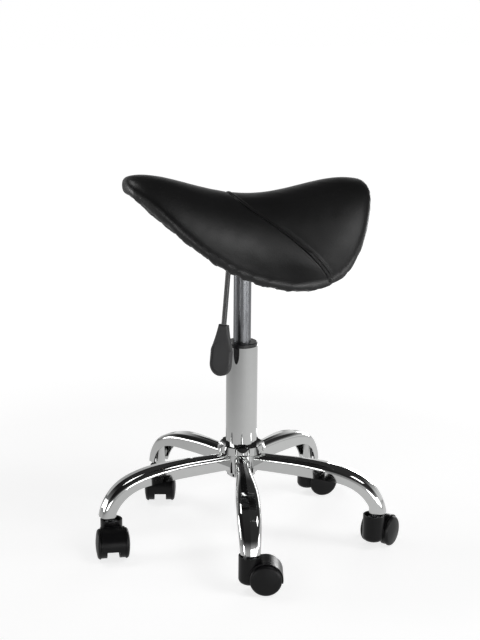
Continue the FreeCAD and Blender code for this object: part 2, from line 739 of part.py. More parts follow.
def seam_wall(half_w):
    """Upright wall that follows the seam across the seat, and the region in front of it."""
    sweep = math.radians(seam_angle)
    y0 = -seam_front
    bend_x = seam_round * math.sin(sweep)
    bend_y = y0 + seam_round * (1 - math.cos(sweep))
    half = half_mid * 1.4
    end_y = bend_y + (half - bend_x) * math.tan(sweep)

    def path(offset):
        """The seam moved square to itself, from left to right."""
        ox, oy = offset * math.sin(sweep), -offset * math.cos(sweep)
        bend = [V(s * (bend_x + ox), bend_y + oy, 0) for s in (-1, 1)]
        ends = [V(s * (half + ox), end_y + oy, 0) for s in (-1, 1)]
        middle = V(0, y0 - offset, 0)
        return [line(ends[0], bend[0]), arc(bend[0], middle, bend[1]), line(bend[1], ends[1])], ends

    fore, fore_ends = path(half_w)
    aft, aft_ends = path(-half_w)
    edges = fore + aft + [line(fore_ends[i], aft_ends[i]) for i in (0, 1)]
    wall = Part.Face(Part.Wire(Part.__sortEdges__(edges))).extrude(V(0, 0, 400))
    far = -seat_front * 2
    front, (left, right) = path(0.0)
    front += [line(left, V(left.x, far, 0)), line(V(left.x, far, 0), V(right.x, far, 0)),
              line(V(right.x, far, 0), right)]
    region = Part.Face(Part.Wire(Part.__sortEdges__(front))).extrude(V(0, 0, 400))
    return moved(wall, 0, 0, 300), moved(region, 0, 0, 300)


def make_seat():
    outer = padded_body(0.0)
    inner = padded_body(skin_t)
    opening = layer_body(lap, lap, 14.0, -40.0)
    cover = outer.cut(inner).cut(opening)
    wall, front = seam_wall(seam_w / 2.0)
    save(cover.common(front), "cover_front")
    save(cover.cut(front), "cover_rear")
    bead = padded_body(-seam_up).common(wall).cut(outer).cut(opening)
    save(bead, "seam_welt")

    gap = skin_t + lap_clear
    board = layer_body(board_in, board_in, gap + board_t, gap)
    hollow = layer_body(board_in - seat_clear, board_in - seat_clear, gap + board_t + seat_clear, -20.0)
    save(board, "seat_board")
    save(padded_body(skin_t + seat_clear).cut(hollow), "seat_foam")
    sheet = layer_body(board_in, board_in, gap - soft_clear, gap - soft_clear - dust_t)
    sheet = sheet.common(layer_body(lap + 1.0, lap + 1.0, 14.0, -40.0))
    window = box(-block_x / 2 - 0.5, block_x / 2 + 0.5, -block_y / 2 - 0.5, block_y / 2 + 0.5, 300, 600)
    save(sheet.cut(window), "dust_cover")

    block = box(-block_x / 2, block_x / 2, -block_y / 2, block_y / 2, mount_z, mount_z + 80)
    block = block.cut(layer_body(board_in, board_in, 90.0, gap - seat_clear))
    inserts = []
    bolts = []
    for sx in (-1, 1):
        for sy in (-1, 1):
            x, y = sx * bolt_x, sy * bolt_y
            top = mount_z + bolt_len - plate_t
            block = block.cut(cyl(insert_d + 2 * seat_clear, mount_z - 1, top + 1, x, y))
            inserts.append(ring(insert_d, bolt_d + 2 * seat_clear, mount_z + 0.02, top, x, y))
            low = mount_z - plate_t
            head = cyl(bolt_head_d, low - bolt_head_t, low, x, y)
            bolts.append(head.fuse(cyl(bolt_d, low, low + bolt_len - 0.5, x, y)).removeSplitter())
    save(block, "seat_block")
    save(Part.makeCompound(inserts), "thread_inserts")
    save(Part.makeCompound(bolts), "plate_bolts")


os.makedirs(OUT, exist_ok=True)
make_casters()
make_legs()
make_hub()
make_column()
make_gas_spring(make_swivel())
make_lever(make_mechanism())
make_seat()
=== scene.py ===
"""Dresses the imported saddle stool: upholstered saddle, chromed base, gas lift, lever and casters.

Metres, +Z up. The column stands on the origin, the nose of the saddle points to -Y and the right
hand of the sitter is +X.
"""
import json
import math

import bmesh
import bpy
from bpy.props import FloatProperty, FloatVectorProperty, IntProperty, PointerProperty
from mathutils import Matrix, Vector
from mathutils.bvhtree import BVHTree


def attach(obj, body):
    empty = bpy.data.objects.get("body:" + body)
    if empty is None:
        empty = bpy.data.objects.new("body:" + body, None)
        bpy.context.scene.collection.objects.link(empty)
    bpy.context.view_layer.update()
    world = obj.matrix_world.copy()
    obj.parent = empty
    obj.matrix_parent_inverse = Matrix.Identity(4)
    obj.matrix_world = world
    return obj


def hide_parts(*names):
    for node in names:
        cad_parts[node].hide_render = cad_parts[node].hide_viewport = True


bl_info = {
    "name": "Saddle Stool",
    "version": (1, 0, 0),
    "blender": (4, 5, 0),
    "location": "View3D > Sidebar > Stool",
    "description": "Upholstery, finishes and studio for a saddle stool on casters",
    "category": "Object",
}

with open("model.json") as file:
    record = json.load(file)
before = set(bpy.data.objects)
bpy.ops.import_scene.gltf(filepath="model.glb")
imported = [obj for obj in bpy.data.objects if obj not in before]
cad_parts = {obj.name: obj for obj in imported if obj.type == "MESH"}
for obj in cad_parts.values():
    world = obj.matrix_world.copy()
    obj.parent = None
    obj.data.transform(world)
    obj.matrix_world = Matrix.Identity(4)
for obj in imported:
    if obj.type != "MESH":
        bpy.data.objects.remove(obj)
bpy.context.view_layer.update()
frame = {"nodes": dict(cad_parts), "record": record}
NODES = frame["nodes"]

# Sewing and filling, in metres
GROOVE_DEPTH, GROOVE_AHEAD, GROOVE_WIDTH = 0.0022, 0.0008, 0.0013
VALLEY_DEPTH, VALLEY_WIDTH = 0.0004, 0.008
LAP_RISE, LAP_WIDTH = 0.0005, 0.007
HAUNCH_RISE, HAUNCH_BACK, HAUNCH_LENGTH = 0.0022, 0.085, 0.06
FOLD_WIDTH = 0.0062
FOLD_SECTION = ((-0.0003, -0.0010), (0.0, 0.0006), (0.0006, 0.0013), (0.0015, 0.0014),
                (0.0026, 0.0009), (0.0042, 0.0007), (0.0055, 0.0005), (FOLD_WIDTH, -0.0006))
STITCH_WIDTH, STITCH_HEIGHT = 0.0009, 0.0008
STAPLE_SIZE = (0.0115, 0.0013, 0.0007)
STAPLE_INSET = 0.009
UNDERSIDE = 0.3

# How the padding presses the cover
PADDING_CLOTH = {"quality": 5, "mass": 0.3, "tension_stiffness": 12, "compression_stiffness": 12,
                 "shear_stiffness": 6, "bending_stiffness": 0.6, "use_pressure": True,
                 "uniform_pressure_force": 4, "vertex_group_mass": "held"}
PRESS_FRAMES = 20
CALM_ROUNDS = 14

# Studio: each softbox's name, place, size and power
SOFTBOXES = (("softbox_left", (1.7, -2.0, 0.35), (0.9, 0.6), 12.0),
             ("softbox_far_left", (-1.2, -2.3, 0.34), (1.5, 0.5), 18.0),
             ("softbox_far_right", (-1.9, 1.8, 0.34), (1.5, 0.5), 18.0),
             ("softbox_rear", (-0.8, -0.9, 2.1), (0.8, 0.8), 8.0),
             ("softbox_right", (1.3, 2.0, 0.40), (0.9, 0.7), 14.0),
             ("softbox_front", (2.5, 0.7, 0.32), (1.5, 0.5), 22.0),
             ("softbox_top", (0.9, 1.0, 2.1), (0.8, 0.8), 10.0))
LAMPS_AIM_AT = (0, 0, 0.3)
# Floor: distances from the column, and the values there
MIRRORED_GLOW = ((0.35, 1.9), (1.05, 0.50))
SEEN_GLOW = ((0.7, 2.6), (1.66, 1.03))
SEEN_SHARE = ((0.7, 2.6), (0.45, 1.0))
MIRRORED_SHARE = 0.78

CAMERA_PLACE = (2.10249, -0.60444, 0.91749)
CAMERA_HEADING, CAMERA_PITCH, CAMERA_ROLL = math.radians(164.053), 0.24984, 0.008398
CAMERA_LENS = 80.58


# Sizes and colours

class StoolSeatSizes(bpy.types.PropertyGroup):
    """Sizes of the upholstery"""
    voxel: FloatProperty(name="Mesh size", description="Size of faces before the padding swells",
                         default=0.0045, unit="LENGTH")
    swell: FloatProperty(name="Swell", description="How far the padding may push the cover",
                         default=0.0022, unit="LENGTH")
    slack: FloatProperty(name="Slack", description="How far the cover starts inside its full form",
                         default=0.0008, unit="LENGTH")
    fill: FloatProperty(name="Fill", description="How far the finished cover stands out",
                        default=0.0007, unit="LENGTH")
    seam_front: FloatProperty(name="Seam front", description="Where the seam crosses the middle",
                              default=-0.024, unit="LENGTH")
    seam_turn: FloatProperty(name="Seam angle", description="How far each half sweeps back",
                             default=math.radians(47.7), unit="ROTATION")
    seam_round: FloatProperty(name="Seam radius", description="Radius of the seam at the middle",
                              default=0.080, unit="LENGTH")
    seam_reach: FloatProperty(name="Seam reach", description="How far to the sides the seam runs",
                              default=0.153, unit="LENGTH")
    welt_width: FloatProperty(name="Welt width", description="Width of the folded seam allowance",
                              default=0.0052, unit="LENGTH")
    stitch: FloatProperty(name="Stitch", description="Length of one stitch", default=0.0036,
                          unit="LENGTH")
    pleats: IntProperty(name="Pleats", description="Gathers round the turned edge", default=58)
    pleat_depth: FloatProperty(name="Pleat depth", description="Depth of the gathers",
                               default=0.0017, unit="LENGTH")
    staples: IntProperty(name="Staples", description="Staples round the dust cloth", default=34)


class StoolColours(bpy.types.PropertyGroup):
    """Colours of the finishes"""
    vinyl: FloatVectorProperty(name="Vinyl", description="Colour of the cover", subtype="COLOR",
                               size=3, default=(0.0048, 0.0048, 0.0050))
    nylon: FloatVectorProperty(name="Nylon", description="Colour of the casters", subtype="COLOR",
                               size=3, default=(0.0035, 0.0035, 0.0038))
    chrome: FloatVectorProperty(name="Chrome", description="Colour of the plating", subtype="COLOR",
                                size=3, default=(0.58, 0.585, 0.58))
    cylinder: FloatVectorProperty(name="Cylinder", description="Colour of the gas cylinder",
                                  subtype="COLOR", size=3, default=(0.20, 0.205, 0.215))
    paddle: FloatVectorProperty(name="Paddle", description="Colour of the lever's paddle",
                                subtype="COLOR", size=3, default=(0.020, 0.020, 0.021))


# Shared helpers

def object_mode():
    if bpy.context.object and bpy.context.object.mode != "OBJECT":
        bpy.ops.object.mode_set(mode="OBJECT")


def only(piece):
    """Leave one piece selected and active."""
    object_mode()
    bpy.ops.object.select_all(action="DESELECT")
    piece.hide_set(False)
    piece.select_set(True)
    bpy.context.view_layer.objects.active = piece


def named(name):
    piece = bpy.context.object
    piece.name = name
    piece.data.name = name
    return piece


def copy_of(names, name):
    """One merged mesh copied from several nodes."""
    object_mode()
    bpy.ops.object.select_all(action="DESELECT")
    copies = []
    for n in names:
        twin = bpy.data.objects.new(name + "_from_" + n, NODES[n].data.copy())
        bpy.context.scene.collection.objects.link(twin)
        copies.append(twin)
    for twin in copies:
        twin.select_set(True)
    bpy.context.view_layer.objects.active = copies[0]
    if len(copies) > 1:
        bpy.ops.object.join()
    piece = named(name)
    piece.data.materials.clear()
    bpy.ops.object.mode_set(mode="EDIT")
    bpy.ops.mesh.select_all(action="SELECT")
    bpy.ops.mesh.remove_doubles(threshold=0.00001)
    bpy.ops.object.mode_set(mode="OBJECT")
    return piece


def apply_all(piece):
    only(piece)
    for modifier in list(piece.modifiers):
        bpy.ops.object.modifier_apply(modifier=modifier.name)


def dress(piece, body, material):
    """Give a finished piece its body, finish and material slot."""
    only(piece)
    bpy.ops.object.transform_apply(location=True, rotation=True, scale=True)
    piece.data.materials.clear()
    piece.data.materials.append(bpy.data.materials[material])
    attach(piece, body)
    return piece


def refinish(name, material):
    node = NODES[name]
    node.data.materials.clear()
    node.data.materials.append(bpy.data.materials[material])
    for p in node.data.polygons:
        p.material_index = 0


def smooth_step(low, high, value):
    part = min(1.0, max(0.0, (value - low) / (high - low)))
    return part * part * (3 - 2 * part)


# Shader groups

def shader_group(name, inputs, outputs):
    tree = bpy.data.node_groups.new(name, "ShaderNodeTree")
    for label, value in inputs:
        socket = tree.interface.new_socket(label, in_out="INPUT", socket_type="NodeSocketFloat")
        socket.default_value = value
    for label in outputs:
        tree.interface.new_socket(label, in_out="OUTPUT", socket_type="NodeSocketFloat")
    start = tree.nodes.new("NodeGroupInput")
    end = tree.nodes.new("NodeGroupOutput")
    return tree, start, end


def node_in(tree, kind, **values):
    node = tree.nodes.new(kind)
    for key, value in values.items():
        setattr(node, key, value)
    return node


def scaled(tree, socket, factor):
    times = node_in(tree, "ShaderNodeMath", operation="MULTIPLY")
    tree.links.new(socket, times.inputs[0])
    times.inputs[1].default_value = factor
    return times.outputs[0]


def product(tree, first, second):
    times = node_in(tree, "ShaderNodeMath", operation="MULTIPLY")
    tree.links.new(first, times.inputs[0])
    tree.links.new(second, times.inputs[1])
    return times.outputs[0]


def mapped(tree, socket, span, ends, smooth=False):
    """Node that carries a value from one range into another."""
    node = node_in(tree, "ShaderNodeMapRange",
                   interpolation_type="SMOOTHSTEP" if smooth else "LINEAR")
    tree.links.new(socket, node.inputs["Value"])
    for label, value in zip(("From Min", "From Max", "To Min", "To Max"), (*span, *ends)):
        node.inputs[label].default_value = value
    return node


def make_grain_group():
    """Moulded or pressed grain: cells with worn tops, and slow changes of gloss."""
    tree, start, end = shader_group(
        "pressed grain",
        (("Scale", 900.0), ("Gloss Low", 0.35), ("Gloss High", 0.5), ("Patch", 9.0)),
        ("Height", "Roughness", "Tone"))
    place = node_in(tree, "ShaderNodeTexCoord")
    bend = node_in(tree, "ShaderNodeTexNoise")
    bend.inputs["Detail"].default_value = 2.0
    cells = node_in(tree, "ShaderNodeTexVoronoi", feature="SMOOTH_F1")
    cells.inputs["Smoothness"].default_value = 0.35
    slow = node_in(tree, "ShaderNodeTexNoise")
    slow.inputs["Detail"].default_value = 4.0
    slow.inputs["Roughness"].default_value = 0.62
    link = tree.links.new
    for texture, socket in ((bend, scaled(tree, start.outputs["Scale"], 0.45)),
                            (cells, start.outputs["Scale"]), (slow, start.outputs["Patch"])):
        link(place.outputs["Object"], texture.inputs["Vector"])
        link(socket, texture.inputs["Scale"])
    height = node_in(tree, "ShaderNodeMath", operation="MULTIPLY_ADD")
    link(cells.outputs["Distance"], height.inputs[0])
    height.inputs[1].default_value = -0.7
    link(bend.outputs["Fac"], height.inputs[2])
    link(height.outputs[0], end.inputs["Height"])
    gloss = mapped(tree, slow.outputs["Fac"], (0.3, 0.7), (0.0, 1.0))
    link(start.outputs["Gloss Low"], gloss.inputs["To Min"])
    link(start.outputs["Gloss High"], gloss.inputs["To Max"])
    link(gloss.outputs[0], end.inputs["Roughness"])
    link(slow.outputs["Fac"], end.inputs["Tone"])
    return tree


def make_polish_group():
    """Bright metal: faint waves of the sheet, fine hairlines and a film of handling marks."""
    tree, start, end = shader_group(
        "polish",
        (("Wave", 14.0), ("Gloss Low", 0.03), ("Gloss High", 0.09), ("Stretch", 1.0)),
        ("Height", "Roughness", "Tone"))
    place = node_in(tree, "ShaderNodeTexCoord")
    squeeze = node_in(tree, "ShaderNodeMapping")
    mix = node_in(tree, "ShaderNodeCombineXYZ")
    mix.inputs[0].default_value = 1.0
    mix.inputs[1].default_value = 1.0
    waves = node_in(tree, "ShaderNodeTexNoise")
    film = node_in(tree, "ShaderNodeTexNoise")
    film.inputs["Detail"].default_value = 6.0
    link = tree.links.new
    link(start.outputs["Stretch"], mix.inputs[2])
    link(mix.outputs[0], squeeze.inputs["Scale"])
    link(place.outputs["Object"], squeeze.inputs["Vector"])
    link(squeeze.outputs[0], waves.inputs["Vector"])
    link(squeeze.outputs[0], film.inputs["Vector"])
    link(start.outputs["Wave"], waves.inputs["Scale"])
    link(scaled(tree, start.outputs["Wave"], 5.0), film.inputs["Scale"])
    link(waves.outputs["Fac"], end.inputs["Height"])
    gloss = mapped(tree, film.outputs["Fac"], (0.35, 0.75), (0.0, 1.0))
    link(start.outputs["Gloss Low"], gloss.inputs["To Min"])
    link(start.outputs["Gloss High"], gloss.inputs["To Max"])
    link(gloss.outputs[0], end.inputs["Roughness"])
    link(film.outputs["Fac"], end.inputs["Tone"])
    return tree


def make_material(name, colour, group, values, metallic=0.0, specular=0.5, bump=0.0, depth=0.0001,
                  tone=0.12, coat=0.0, coat_rough=0.1):
    """Material of one finish. Its group changes colour, gloss and relief over the surface."""
    material = bpy.data.materials.new(name)
    material.use_nodes = True
    tree = material.node_tree
    link = tree.links.new
    shader = tree.nodes["Principled BSDF"]
    shader.inputs["Metallic"].default_value = metallic
    shader.inputs["Specular IOR Level"].default_value = specular
    shader.inputs["Coat Weight"].default_value = coat
    shader.inputs["Coat Roughness"].default_value = coat_rough
    detail = node_in(tree, "ShaderNodeGroup", node_tree=bpy.data.node_groups[group])
    for label, value in values.items():
        detail.inputs[label].default_value = value
    link(detail.outputs["Roughness"], shader.inputs["Roughness"])
    shade = node_in(tree, "ShaderNodeMix", data_type="RGBA")
    low = [c * (1 - tone) for c in colour]
    high = [min(1.0, c * (1 + tone)) for c in colour]
    shade.inputs["A"].default_value = (*low, 1)
    shade.inputs["B"].default_value = (*high, 1)
    link(detail.outputs["Tone"], shade.inputs["Factor"])
    link(shade.outputs["Result"], shader.inputs["Base Color"])
    if bump:
        relief = node_in(tree, "ShaderNodeBump")
        relief.inputs["Strength"].default_value = bump
        relief.inputs["Distance"].default_value = depth
        link(detail.outputs["Height"], relief.inputs["Height"])
        link(relief.outputs["Normal"], shader.inputs["Normal"])
    return material


# Upholstery

def seam_y(sizes, x):
    """Where the seam runs, seen from above, at a sideways place."""
    bend = sizes.seam_round * math.sin(sizes.seam_turn)
    inner = min(abs(x), bend)
    rise = sizes.seam_round - math.sqrt(sizes.seam_round ** 2 - inner ** 2)
    return sizes.seam_front + rise + (abs(x) - inner) * math.tan(sizes.seam_turn)


def seam_gap(sizes, x, y):
    """Distance behind the seam, measured square to it from above."""
    step = 0.001
    slope = (seam_y(sizes, abs(x) + step) - seam_y(sizes, abs(x))) / step
    return (y - seam_y(sizes, x)) / math.sqrt(1 + slope * slope)


def swell_padding(piece, sizes):
    """Let the padding press the cover out between its turned edge and the seam."""
    mesh = piece.data
    normals = [v.normal.copy() for v in mesh.vertices]
    held = piece.vertex_groups.new(name="held")
    for v in mesh.vertices:
        v.co = v.co - normals[v.index] * sizes.slack
        near_seam = math.exp(-(seam_gap(sizes, v.co.x, v.co.y) / 0.005) ** 2)
        under = smooth_step(0.1, 0.45, -normals[v.index].z)
        held.add([v.index], max(under, 0.35 * near_seam if normals[v.index].z > -0.2 else under),
                 "REPLACE")
    cloth = piece.modifiers.new("padding", "CLOTH")
    for key, value in PADDING_CLOTH.items():
        setattr(cloth.settings, key, value)
    cloth.settings.effector_weights.gravity = 0
    cloth.collision_settings.use_collision = False
    scene = bpy.context.scene
    for step in range(1, PRESS_FRAMES + 1):
        scene.frame_set(step)
    graph = bpy.context.evaluated_depsgraph_get()
    pressed = piece.evaluated_get(graph).to_mesh()
    ends = [v.co.copy() for v in pressed.vertices]
    piece.evaluated_get(graph).to_mesh_clear()
    piece.modifiers.remove(cloth)
    scene.frame_set(1)
    moves = []
    for v in mesh.vertices:
        move = ends[v.index] - v.co
        if move.length > sizes.swell:
            move = move * (sizes.swell / move.length)
        moves.append(move)
    pairs = [tuple(e.vertices) for e in mesh.edges]
    for _ in range(CALM_ROUNDS):
        total = [move.copy() for move in moves]
        count = [1] * len(moves)
        for a, b in pairs:
            total[a] += moves[b]
            total[b] += moves[a]
            count[a] += 1
            count[b] += 1
        moves = [t / n for t, n in zip(total, count)]
    for v in mesh.vertices:
        v.co = v.co + moves[v.index]
    piece.vertex_groups.clear()


def refine_near(piece, test):
    """Divide the faces whose middle passes a test."""
    only(piece)
    bpy.ops.object.mode_set(mode="EDIT")
    bpy.ops.mesh.select_all(action="DESELECT")
    bpy.ops.mesh.select_mode(type="FACE")
    mesh = bmesh.from_edit_mesh(piece.data)
    for face in mesh.faces:
        face.select = test(face.calc_center_median(), face.normal)
    bmesh.update_edit_mesh(piece.data)
    bpy.ops.mesh.subdivide(number_cuts=1, smoothness=0.0)
    bpy.ops.object.mode_set(mode="OBJECT")


def sew_cushion(piece, sizes):
    """Press in the seam and gather the turned edge."""
    mesh = piece.data
    normals = [v.normal.copy() for v in mesh.vertices]
    count = sizes.pleats
    for v in mesh.vertices:
        n = normals[v.index]
        gap = seam_gap(sizes, v.co.x, v.co.y)
        top = smooth_step(-0.35, 0.0, n.z)
        push = -GROOVE_DEPTH * math.exp(-((gap + GROOVE_AHEAD) / GROOVE_WIDTH) ** 2)
        push -= VALLEY_DEPTH * math.exp(-(gap / VALLEY_WIDTH) ** 2)
        push += LAP_RISE * smooth_step(0.0, 0.0015, gap) * (1 - smooth_step(0.004, LAP_WIDTH, gap))
        haunch = math.exp(-((v.co.y - HAUNCH_BACK) / HAUNCH_LENGTH) ** 2)
        haunch *= smooth_step(0.095, 0.14, abs(v.co.x))
        push = push * top + (sizes.fill + HAUNCH_RISE * haunch) * (1 - smooth_step(0.5, 0.9, -n.z))
        angle = math.atan2(v.co.x * 1.1, -v.co.y)
        drift = 1.9 * math.sin(angle * 5) + 0.8 * math.sin(angle * 9 + 2)
        wave = (math.sin(angle * count * 0.5 + drift)
                + 0.5 * math.sin(angle * count * 0.81 + 4 * math.sin(angle * 3 + 1)))
        fold = 1.0 - abs(math.sin(0.5 * (angle * count + 2.2 * math.sin(angle * 7))))
        turned = smooth_step(0.15, 0.75, -n.z) * (1 - smooth_step(0.97, 1.0, -n.z))
        edge = 0.3 * smooth_step(-0.2, 0.4, -n.z)
        push += sizes.pleat_depth * (0.5 * wave * max(turned, edge) - 0.9 * fold ** 3 * turned)
        v.co = v.co + n * push


def seam_path(sizes, surface, offset, step):
    """Points and normals on the cover, a set distance behind the seam."""
    out = []
    x = -sizes.seam_reach
    while x < sizes.seam_reach:
        y = seam_y(sizes, x) + offset
        hit, normal, _, _ = surface.ray_cast(Vector((x, y, 1.0)), Vector((0, 0, -1)))
        if hit:
            if out and (hit - out[-1][0]).length < step:
                x += step * 0.05
                continue
            out.append((hit, normal))
        x += step * 0.05
    return out


def make_welt(sizes, surface):
    """Folded seam allowance, sewn flat behind the seam, with a rolled front edge."""
    rows = []
    path = seam_path(sizes, surface, 0.0, 0.003)
    mesh = bmesh.new()
    for i, (point, _) in enumerate(path):
        ahead = path[min(i + 1, len(path) - 1)][0] - path[max(i - 1, 0)][0]
        ahead.normalize()
        row = []
        for across, up in FOLD_SECTION:
            spot = point + Vector((0, across * sizes.welt_width / FOLD_WIDTH, 0))
            _, normal, _, _ = surface.find_nearest(spot)
            side = normal.cross(ahead)
            if side.y < 0:
                side = -side
            spot = point + side.normalized() * across * sizes.welt_width / FOLD_WIDTH
            near, normal, _, _ = surface.find_nearest(spot)
            row.append(mesh.verts.new(near + normal * up))
        rows.append(row)
    for a, b in zip(rows, rows[1:]):
        for i in range(len(FOLD_SECTION) - 1):
            mesh.faces.new((a[i], b[i], b[i + 1], a[i + 1]))
    data = bpy.data.meshes.new("seam_fold")
    mesh.to_mesh(data)
    mesh.free()
    fold = bpy.data.objects.new("seam_fold", data)
    bpy.context.scene.collection.objects.link(fold)
    only(fold)
    bpy.ops.object.mode_set(mode="EDIT")
    bpy.ops.mesh.select_all(action="SELECT")
    bpy.ops.mesh.normals_make_consistent(inside=False)
    bpy.ops.object.mode_set(mode="OBJECT")
    if fold.data.polygons[len(fold.data.polygons) // 2].normal.z < 0:
        fold.data.flip_normals()
    smooth = fold.modifiers.new("soften", "SUBSURF")
    smooth.levels = smooth.render_levels = 1
    apply_all(fold)
    bpy.ops.object.shade_smooth()
    return fold


def make_stitches(sizes, surface):
    """Lock stitches along the back of the fold."""
    path = seam_path(sizes, surface, sizes.welt_width * 0.8, sizes.stitch * 1.35)
    bpy.ops.mesh.primitive_uv_sphere_add(segments=8, ring_count=5, radius=0.5)
    one = named("stitch_seed")
    seed = one.data
    whole = bmesh.new()
    for i in range(1, len(path) - 1):
        point, normal = path[i]
        ahead = (path[i + 1][0] - path[i - 1][0]).normalized()
        side = normal.cross(ahead).normalized()
        normal = ahead.cross(side).normalized()
        turn = Matrix((ahead, side, normal)).transposed().to_4x4()
        turn.translation = point + normal * 0.0002
        size = Matrix.Diagonal((sizes.stitch, STITCH_WIDTH, STITCH_HEIGHT, 1.0))
        part = seed.copy()
        part.transform(turn @ size)
        whole.from_mesh(part)
        bpy.data.meshes.remove(part)
    bpy.data.objects.remove(one)
    data = bpy.data.meshes.new("seam_stitches")
    whole.to_mesh(data)
    whole.free()
    thread = bpy.data.objects.new("seam_stitches", data)
    bpy.context.scene.collection.objects.link(thread)
    only(thread)
    bpy.ops.object.shade_smooth()
    return thread


def cloth_edge(surface, turn):
    """Point and normal on the dust cloth, a little inside its edge, seen from below."""
    out = Vector((math.cos(turn), math.sin(turn), 0))
    below, upwards = Vector((0, 0, UNDERSIDE)), Vector((0, 0, 1))
    reach = 0.20
    while reach > 0.05:
        hit, _, _, _ = surface.ray_cast(out * reach + below, upwards)
        if hit:
            hit, normal, _, _ = surface.ray_cast(out * (reach - STAPLE_INSET) + below, upwards)
            return hit, normal
        reach -= 0.0005
    return None, None


def make_staples(count):
    """Staples that hold the dust cloth: one bar with rounded edges, copied round its edge."""
    surface = BVHTree.FromObject(NODES["dust_cover"], bpy.context.evaluated_depsgraph_get())
    bpy.ops.mesh.primitive_cube_add(size=1.0)
    one = named("staple_seed")
    one.scale = STAPLE_SIZE
    bpy.ops.object.transform_apply(location=False, rotation=False, scale=True)
    rim = one.modifiers.new("rim", "BEVEL")
    rim.width = 0.00025
    rim.segments = 2
    apply_all(one)
    seed = one.data
    whole = bmesh.new()
    for i in range(count):
        turn = 2 * math.pi * (i + 0.5) / count
        point, normal = cloth_edge(surface, turn)
        ahead, _ = cloth_edge(surface, turn + 0.04)
        if point is None or ahead is None or (ahead - point).length > 0.03:
            continue
        if normal.z > 0:
            normal = -normal
        along = (ahead - point).normalized()
        across = normal.cross(along).normalized()
        along = across.cross(normal)
        tilt = 0.25 * math.sin(i * 2.3)
        along, across = (along * math.cos(tilt) + across * math.sin(tilt),
                         across * math.cos(tilt) - along * math.sin(tilt))
        place = Matrix((along, across, normal)).transposed().to_4x4()
        place.translation = point + normal * 0.0003
        part = seed.copy()
        part.transform(place)
        whole.from_mesh(part)
        bpy.data.meshes.remove(part)
    bpy.data.objects.remove(one)
    data = bpy.data.meshes.new("dust_staples")
    whole.to_mesh(data)
    whole.free()
    staples = bpy.data.objects.new("dust_staples", data)
    bpy.context.scene.collection.objects.link(staples)
    only(staples)
    bpy.ops.object.shade_smooth()
    return staples


